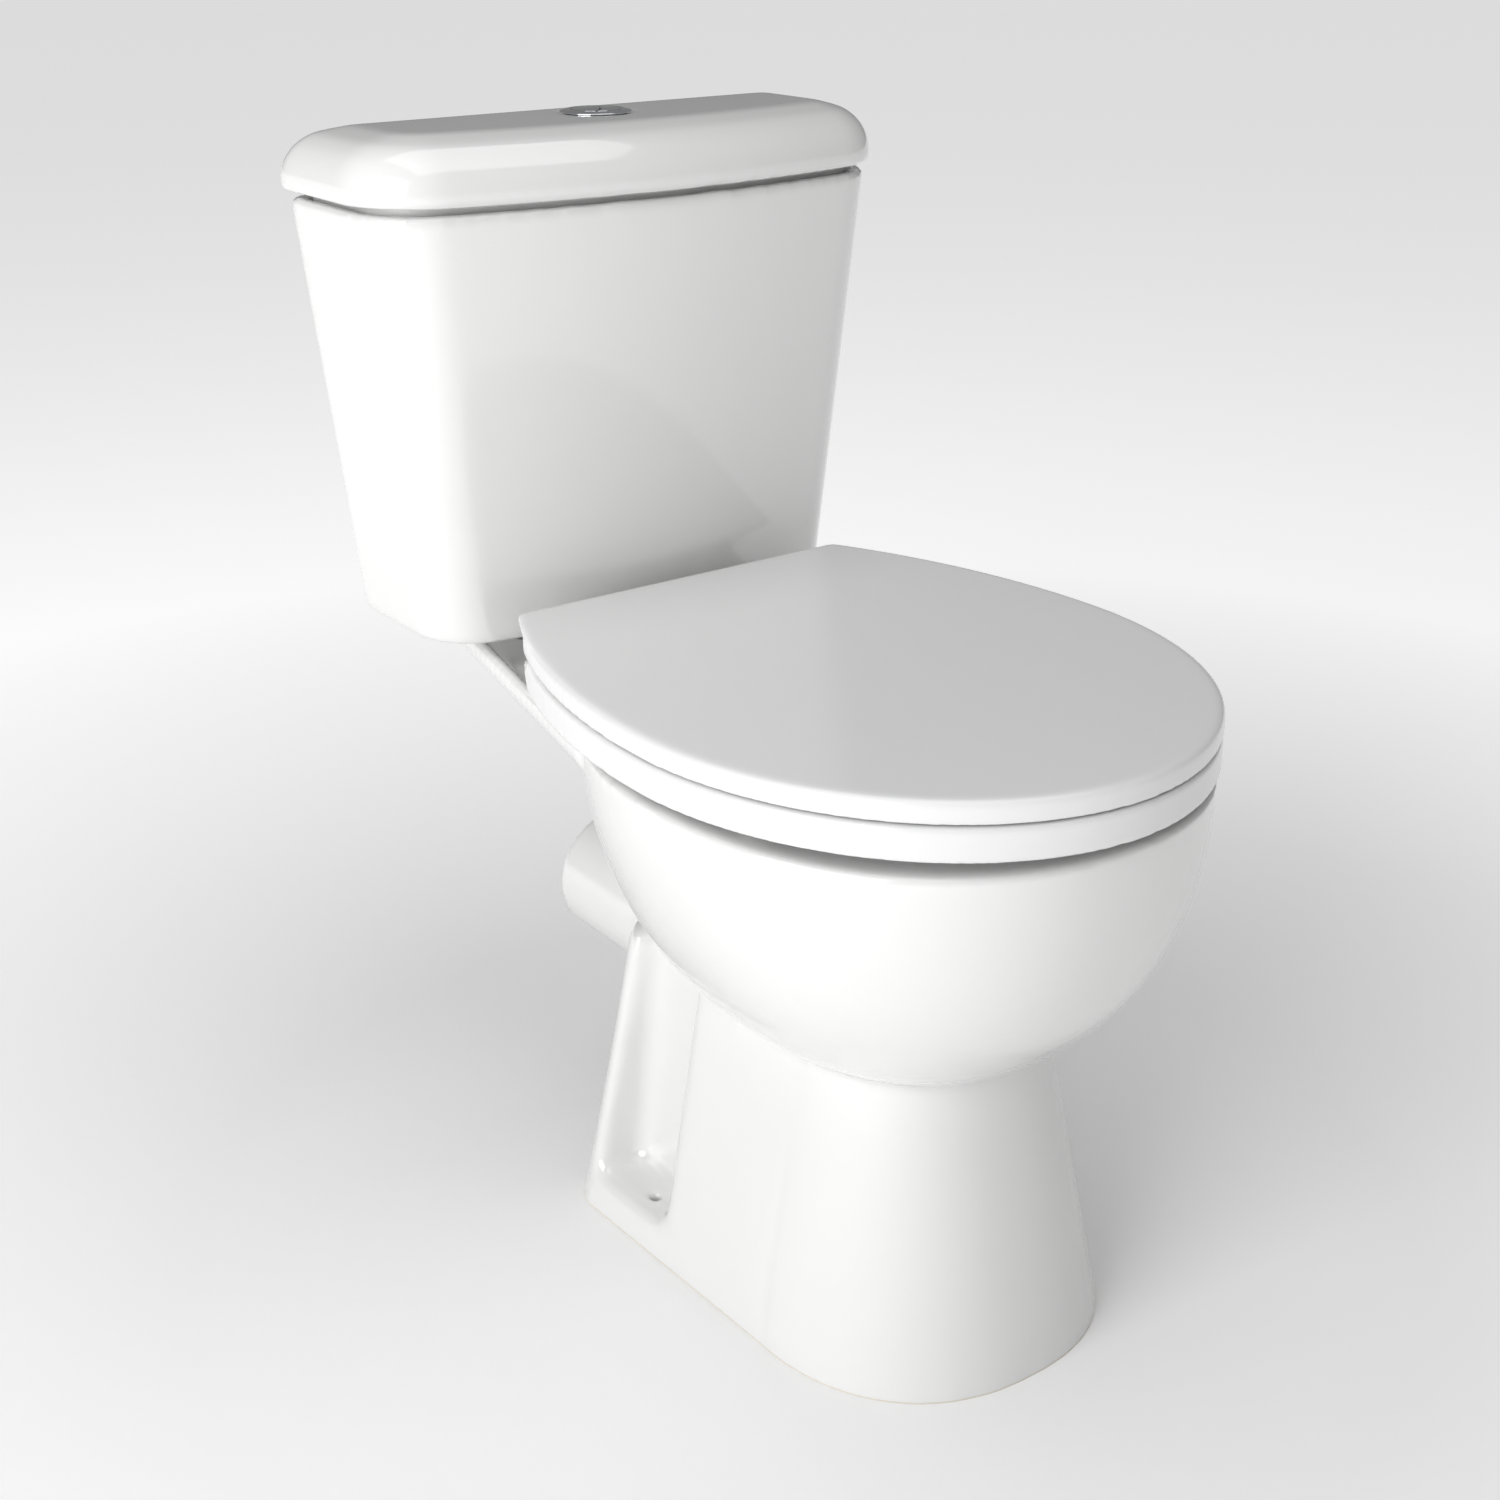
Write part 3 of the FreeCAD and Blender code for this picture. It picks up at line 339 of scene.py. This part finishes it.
def rubber(name, colour, powder):
    """Moulded rubber with a dull, slightly dusty skin."""
    finish = Finish(name)
    dust = finish.noise(220.0, 5.0, 0.65)
    finish.set(Base_Color=finish.mix(dust, solid(colour), solid(powder)),
               Roughness=dust * 0.18 + 0.55, IOR=1.45)
    finish.bump(finish.noise(1500.0, 2.0), 0.25, 0.12 * MM)
    return finish.material


def moulding(name, colour, shade):
    """Unpolished moulded plastic with fine spark-eroded texture and flow marks."""
    finish = Finish(name)
    flow = finish.stretched_noise(35.0, (1.0, 1.0, 0.25), 3.0)
    grain = finish.noise(1300.0, 1.0)
    finish.set(Base_Color=finish.mix(flow, solid(colour), solid(shade)),
               Roughness=flow * 0.12 + grain * 0.1 + 0.34, IOR=1.47)
    finish.bump(grain, 0.2, 0.1 * MM)
    return finish.material


def plated_steel():
    """Zinc plated steel, a little dull and cloudy."""
    finish = Finish("plated_steel")
    cloud = finish.noise(160.0, 4.0, 0.6)
    drawn = finish.stretched_noise(500.0, (1.0, 1.0, 10.0), 2.0)
    finish.set(Base_Color=finish.mix(cloud, (0.60, 0.60, 0.62, 1.0), (0.74, 0.73, 0.70, 1.0)),
               Metallic=1.0, Roughness=cloud * 0.16 + drawn * 0.12 + 0.2)
    finish.bump(drawn, 0.12, 0.06 * MM)
    return finish.material


MAKERS = {
    "glazed_china": glazed_china,
    "polished_plastic": polished_plastic,
    "bright_chrome": bright_chrome,
    "pale_rubber": lambda: rubber("pale_rubber", (0.62, 0.62, 0.60), (0.70, 0.70, 0.68)),
    "black_rubber": lambda: rubber("black_rubber", (0.018, 0.018, 0.02), (0.06, 0.06, 0.06)),
    "white_moulding": lambda: moulding("white_moulding", (0.72, 0.72, 0.70), (0.78, 0.78, 0.77)),
    "blue_moulding": lambda: moulding("blue_moulding", (0.03, 0.13, 0.42), (0.04, 0.17, 0.50)),
    "grey_moulding": lambda: moulding("grey_moulding", (0.20, 0.21, 0.23), (0.26, 0.27, 0.29)),
    "plated_steel": plated_steel,
}


def finish_named(name):
    """The finish of that name, made on first use."""
    return bpy.data.materials.get(name) or MAKERS[name]()


# ---------------------------------------------------------------- mesh tools

def object_from(bm, name):
    """A new object from a bmesh, at the origin, smoothly shaded."""
    mesh = bpy.data.meshes.new(name)
    for face in bm.faces:
        face.smooth = True
    bm.to_mesh(mesh)
    bm.free()
    piece = bpy.data.objects.new(name, mesh)
    bpy.context.scene.collection.objects.link(piece)
    return piece


def applied(piece):
    """The same piece with its modifiers worked into its mesh."""
    graph = bpy.context.evaluated_depsgraph_get()
    mesh = bpy.data.meshes.new_from_object(piece.evaluated_get(graph))
    mesh.name = piece.name
    piece.modifiers.clear()
    piece.data = mesh
    for polygon in mesh.polygons:
        polygon.use_smooth = True
    return piece


def skinned(bm, name, grain):
    """A bmesh turned into one even skin of square faces."""
    piece = object_from(bm, name)
    skin = piece.modifiers.new("skin", "REMESH")
    skin.mode = "VOXEL"
    skin.voxel_size = grain
    return applied(piece)


def copy_of(node):
    """A merged copy of a CAD node's mesh."""
    bm = bmesh.new()
    bm.from_mesh(frame["nodes"][node].data)
    bmesh.ops.remove_doubles(bm, verts=bm.verts, dist=0.01 * MM)
    return bm


def melt(bm, verts, rounds):
    """Rounds off edges by moving each vertex towards its neighbours, over and over."""
    for _ in range(rounds):
        bmesh.ops.smooth_vert(bm, verts=verts, factor=0.5, use_axis_x=True, use_axis_y=True,
                              use_axis_z=True)


def thinned(piece):
    """The same piece, with fewer and larger faces where it has more triangles than it may."""
    triangles = sum(len(polygon.vertices) - 2 for polygon in piece.data.polygons)
    if triangles <= MOST_TRIANGLES:
        return piece
    thin = piece.modifiers.new("thin", "DECIMATE")
    thin.ratio = MOST_TRIANGLES / triangles
    return applied(piece)


def softened(node, name, grain, rounds):
    """A copy of a CAD node as one even skin, its sharp edges rounded as under a glaze."""
    piece = skinned(copy_of(node), name, grain)
    bm = bmesh.new()
    bm.from_mesh(piece.data)
    melt(bm, bm.verts, rounds)
    bm.to_mesh(piece.data)
    bm.free()
    return thinned(piece)


def dress(piece, finish):
    """Gives a piece one finish."""
    piece.data.materials.clear()
    piece.data.materials.append(finish_named(finish))


def hand_over(piece, body, node, finish):
    """Dresses a piece, rides it on its body and lets it stand for its CAD node."""
    dress(piece, finish)
    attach(piece, body)
    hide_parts(node)


def lathe(profile, centre, turns):
    """A closed ring shape spun from a closed outline of (radius, height) points."""
    bm = bmesh.new()
    verts = [bm.verts.new((centre.x + radius, centre.y, height)) for radius, height in profile]
    edges = [bm.edges.new((a, b)) for a, b in zip(verts, verts[1:] + verts[:1])]
    bmesh.ops.spin(bm, geom=verts + edges, cent=centre, axis=(0, 0, 1), angle=math.tau,
                   steps=turns, use_merge=True)
    bmesh.ops.remove_doubles(bm, verts=bm.verts, dist=0.001 * MM)
    bmesh.ops.recalc_face_normals(bm, faces=bm.faces)
    return bm


# ---------------------------------------------------------------- pieces

def in_scoop(place):
    """Whether a place lies in or round the scooped sides of the foot, clear of its screw holes."""
    hole = Vector((FIXING_X, FIXING_Y))
    near_hole = (Vector((abs(place.x), place.y)) - hole).length < HOLE_REACH and place.z < HOLE_TOP
    across = abs(place.x) > SCOOP_INNER_X
    along = SCOOP_FRONT_Y < place.y < SCOOP_REAR_Y
    upward = SCOOP_BOTTOM < place.z < SCOOP_TOP
    return across and along and upward and not near_hole


class TOILET_OT_pan(bpy.types.Operator):
    """Make the china pan with its soft rim, creases and scooped sides"""
    bl_idname = "toilet.pan"
    bl_label = "Pan"

    def execute(self, context):
        look = context.scene.toilet_china
        sunk = 9 * MM    # keeps the floor edge crisp: the skin is softened below it, then cut there
        bm = copy_of("pan")
        for vert in bm.verts:
            if vert.co.z < 0.01 * MM:
                vert.co.z -= sunk
        piece = skinned(bm, "pan_china", look.pan_grain)
        bm = bmesh.new()
        bm.from_mesh(piece.data)
        melt(bm, bm.verts, look.softness)
        melt(bm, [vert for vert in bm.verts if in_scoop(vert.co)], look.scoop_softness)
        bm.to_mesh(piece.data)
        bm.clear()
        bm.from_mesh(thinned(piece).data)
        plane = bmesh.ops.bisect_plane(bm, geom=bm.verts[:] + bm.edges[:] + bm.faces[:],
                                       plane_co=(0, 0, 0), plane_no=(0, 0, 1), clear_inner=True)
        cut = [item for item in plane["geom_cut"] if isinstance(item, bmesh.types.BMEdge)]
        bmesh.ops.triangle_fill(bm, edges=cut, use_beauty=True, normal=(0, 0, -1))
        for edge in cut:
            edge.smooth = False
        bm.to_mesh(piece.data)
        bm.free()
        hand_over(piece, "toilet", "pan", "glazed_china")
        return {"FINISHED"}


class TOILET_OT_cistern(bpy.types.Operator):
    """Make the china cistern with rounded lower edges"""
    bl_idname = "toilet.cistern"
    bl_label = "Cistern"

    def execute(self, context):
        look = context.scene.toilet_china
        piece = softened("cistern", "cistern_china", look.cistern_grain, look.softness)
        hand_over(piece, "toilet", "cistern", "glazed_china")
        return {"FINISHED"}


class TOILET_OT_cistern_lid(bpy.types.Operator):
    """Make the china lid of the cistern with its soft shoulder"""
    bl_idname = "toilet.cistern_lid"
    bl_label = "Cistern lid"

    def execute(self, context):
        look = context.scene.toilet_china
        piece = softened("cistern_lid", "cistern_lid_china", look.cover_grain, look.softness * 3)
        hand_over(piece, "cistern_cover", "cistern_lid", "glazed_china")
        return {"FINISHED"}


class TOILET_OT_seat(bpy.types.Operator):
    """Make the seat ring and the lid in polished plastic"""
    bl_idname = "toilet.seat"
    bl_label = "Seat and lid"

    def execute(self, context):
        look = context.scene.toilet_seat
        for node, body in (("seat", "seat_ring"), ("seat_lid", "lid")):
            piece = softened(node, node + "_moulding", look.grain, 8)
            hand_over(piece, body, node, "polished_plastic")
        return {"FINISHED"}


class TOILET_OT_buttons(bpy.types.Operator):
    """Make the two chrome flush buttons with softened edges"""
    bl_idname = "toilet.buttons"
    bl_label = "Flush buttons"

    def execute(self, context):
        look = context.scene.toilet_button
        for name in ("full", "half"):
            node = f"{name}_flush_button"
            piece = softened(node, f"{node}_cap", look.grain, 4)
            hand_over(piece, f"{name}_button", node, "bright_chrome")
        return {"FINISHED"}


class TOILET_OT_bezel(bpy.types.Operator):
    """Make the conical chrome ring round the buttons, with its barrel"""
    bl_idname = "toilet.bezel"
    bl_label = "Button ring"

    def execute(self, context):
        look = context.scene.toilet_button
        low, high = (Vector(corner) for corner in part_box("button_bezel"))
        centre = Vector(((low.x + high.x) / 2, (low.y + high.y) / 2, 0))
        outer = (high.x - low.x) / 2
        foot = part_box("cistern_lid")[1][2]
        barrel, bore, plate, rod_hole = 19 * MM, 17.4 * MM, 3 * MM, 2.7 * MM
        profile = ((outer, foot), (outer, foot + 0.5 * MM), (outer - 0.3 * MM, foot + 0.8 * MM),
                   (look.cone_radius + 0.4 * MM, high.z - 0.1 * MM), (look.cone_radius, high.z),
                   (bore + 1.4 * MM, high.z), (bore + 0.9 * MM, high.z - 0.2 * MM),
                   (bore, high.z - 1.2 * MM), (bore, low.z + plate), (bore / 20, low.z + plate),
                   (bore / 20, low.z), (barrel, low.z), (barrel, foot))
        ring = object_from(lathe(profile, centre, look.turns), "button_bezel_ring")
        for node in ("full_flush_rod", "half_flush_rod"):
            near, far = (Vector(corner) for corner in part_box(node))
            middle = (near + far) / 2
            middle.z = low.z
            bm = bmesh.new()
            bmesh.ops.create_cone(bm, segments=24, radius1=rod_hole, radius2=rod_hole,
                                  depth=4 * plate, cap_ends=True,
                                  matrix=Matrix.Translation(middle))
            cutter = object_from(bm, "rod_hole")
            hole = ring.modifiers.new("hole", "BOOLEAN")
            hole.object = cutter
            hole.solver = "EXACT"
            applied(ring)
            bpy.data.objects.remove(cutter)
        crisp = ring.modifiers.new("crisp", "EDGE_SPLIT")
        crisp.split_angle = math.radians(35)
        hand_over(applied(ring), "cistern_cover", "button_bezel", "bright_chrome")
        return {"FINISHED"}


class TOILET_OT_fittings(bpy.types.Operator):
    """Give the valves, hinges, seals and fasteners their finishes"""
    bl_idname = "toilet.fittings"
    bl_label = "Valves and fasteners"

    def execute(self, context):
        for finish, nodes in FINISHES.items():
            for node in nodes:
                for slot in frame["nodes"][node].material_slots:
                    slot.material = finish_named(finish)
        return {"FINISHED"}


# ---------------------------------------------------------------- studio

def area_light(name, place, target, size, power):
    """A soft square light that faces its target."""
    data = bpy.data.lights.new(name, "AREA")
    data.shape = "RECTANGLE"
    data.size, data.size_y = size
    data.energy = power
    lamp = bpy.data.objects.new(name, data)
    lamp.location = place
    lamp.rotation_euler = (Vector(target) - Vector(place)).to_track_quat("-Z", "Y").to_euler()
    bpy.context.scene.collection.objects.link(lamp)
    return lamp


class TOILET_OT_stage(bpy.types.Operator):
    """Set up the pale floor with a painted glow that grows away from the toilet, the soft lights and the
    camera
    """
    bl_idname = "toilet.stage"
    bl_label = "Studio"

    def execute(self, context):
        scene = context.scene
        look = scene.toilet_studio
        bm = bmesh.new()
        bmesh.ops.create_grid(bm, x_segments=1, y_segments=1, size=40.0)
        floor = object_from(bm, "studio_floor")
        paper = Finish("glowing_studio_paper")
        # Painted light: the floor glows faintly near the toilet and brighter from 0.45 m out, so the far
        # floor stays bright where the lamps fall off; the faint near glow also lights the toilet from
        # below.
        glow_start, glow_slope, near_glow, far_glow = 0.45, 0.9, 0.08, 0.5
        far = paper.node("ShaderNodeVectorMath", {"operation": "LENGTH"}, "Value", Vector=paper.place)
        share = ((far - glow_start) * glow_slope).larger(0.0).smaller(1.0)
        paper.set(Base_Color=(0.92, 0.92, 0.92, 1.0), Roughness=paper.noise(3.0) * 0.05 + 0.75,
                  Emission_Color=paper.mix(share, solid(WHITE, near_glow), solid(WHITE, far_glow)),
                  Emission_Strength=1.0)
        floor.data.materials.append(paper.material)

        middle = (0, 0, 0.4)
        area_light("key_light", (-2.8, -0.8, 1.35), middle, (2.2, 2.2), look.key_power)
        area_light("fill_light", (2.4, -2.0, 1.4), middle, (2.0, 2.0), look.fill_power)
        area_light("top_light", (0.0, -0.3, 2.8), middle, (2.4, 2.4), look.top_power)
        world = bpy.data.worlds.new("studio_room")
        world.use_nodes = True
        sky = world.node_tree.nodes["Background"]
        sky.inputs["Color"].default_value = solid(WHITE)
        sky.inputs["Strength"].default_value = look.room_light
        scene.world = world
        scene.view_settings.view_transform = "Standard"

        turn, tilt = look.azimuth, look.elevation
        back = Vector((math.sin(turn) * math.cos(tilt), -math.cos(turn) * math.cos(tilt), math.sin(tilt)))
        across = Vector((math.cos(turn), math.sin(turn), 0))
        upward = back.cross(across)
        right = across * math.cos(look.roll) + upward * math.sin(look.roll)
        data = bpy.data.cameras.new("camera")
        data.lens = look.lens
        data.sensor_width = 36.0
        camera = bpy.data.objects.new("camera", data)
        facing = Matrix((right, back.cross(right), back)).transposed()
        camera.matrix_world = Matrix.Translation(look.camera_place) @ facing.to_4x4()
        scene.collection.objects.link(camera)
        scene.camera = camera
        return {"FINISHED"}


class TOILET_PT_panel(bpy.types.Panel):
    """The toilet's pieces and sizes, in the sidebar"""
    bl_idname = "TOILET_PT_panel"
    bl_label = "Toilet"
    bl_space_type = "VIEW_3D"
    bl_region_type = "UI"
    bl_category = "Toilet"

    def draw(self, context):
        for title, owner in GROUPS.items():
            box = self.layout.box()
            box.label(text=title)
            values = getattr(context.scene, owner[0])
            for key in owner[1].__annotations__:
                box.prop(values, key)
        for operator in OPERATORS:
            self.layout.operator(operator.bl_idname)


GROUPS = {
    "China": ("toilet_china", ToiletChina),
    "Seat": ("toilet_seat", ToiletSeat),
    "Button": ("toilet_button", ToiletButton),
    "Studio": ("toilet_studio", ToiletStudio),
}
OPERATORS = (TOILET_OT_pan, TOILET_OT_cistern, TOILET_OT_cistern_lid, TOILET_OT_seat,
             TOILET_OT_buttons, TOILET_OT_bezel, TOILET_OT_fittings, TOILET_OT_stage)


def register():
    """Registers the classes and hangs the sizes on the scene."""
    for name, group in GROUPS.values():
        bpy.utils.register_class(group)
        setattr(bpy.types.Scene, name, PointerProperty(type=group))
    for operator in OPERATORS:
        bpy.utils.register_class(operator)
    bpy.utils.register_class(TOILET_PT_panel)


def unregister():
    """Takes away what register added."""
    bpy.utils.unregister_class(TOILET_PT_panel)
    for operator in reversed(OPERATORS):
        bpy.utils.unregister_class(operator)
    for name, group in reversed(GROUPS.values()):
        delattr(bpy.types.Scene, name)
        bpy.utils.unregister_class(group)


def main():
    """Builds the whole toilet in its studio."""
    register()
    bpy.ops.toilet.pan()
    bpy.ops.toilet.cistern()
    bpy.ops.toilet.cistern_lid()
    bpy.ops.toilet.seat()
    bpy.ops.toilet.buttons()
    bpy.ops.toilet.bezel()
    bpy.ops.toilet.fittings()
    bpy.ops.toilet.stage()


if __name__ == "__main__":
    main()
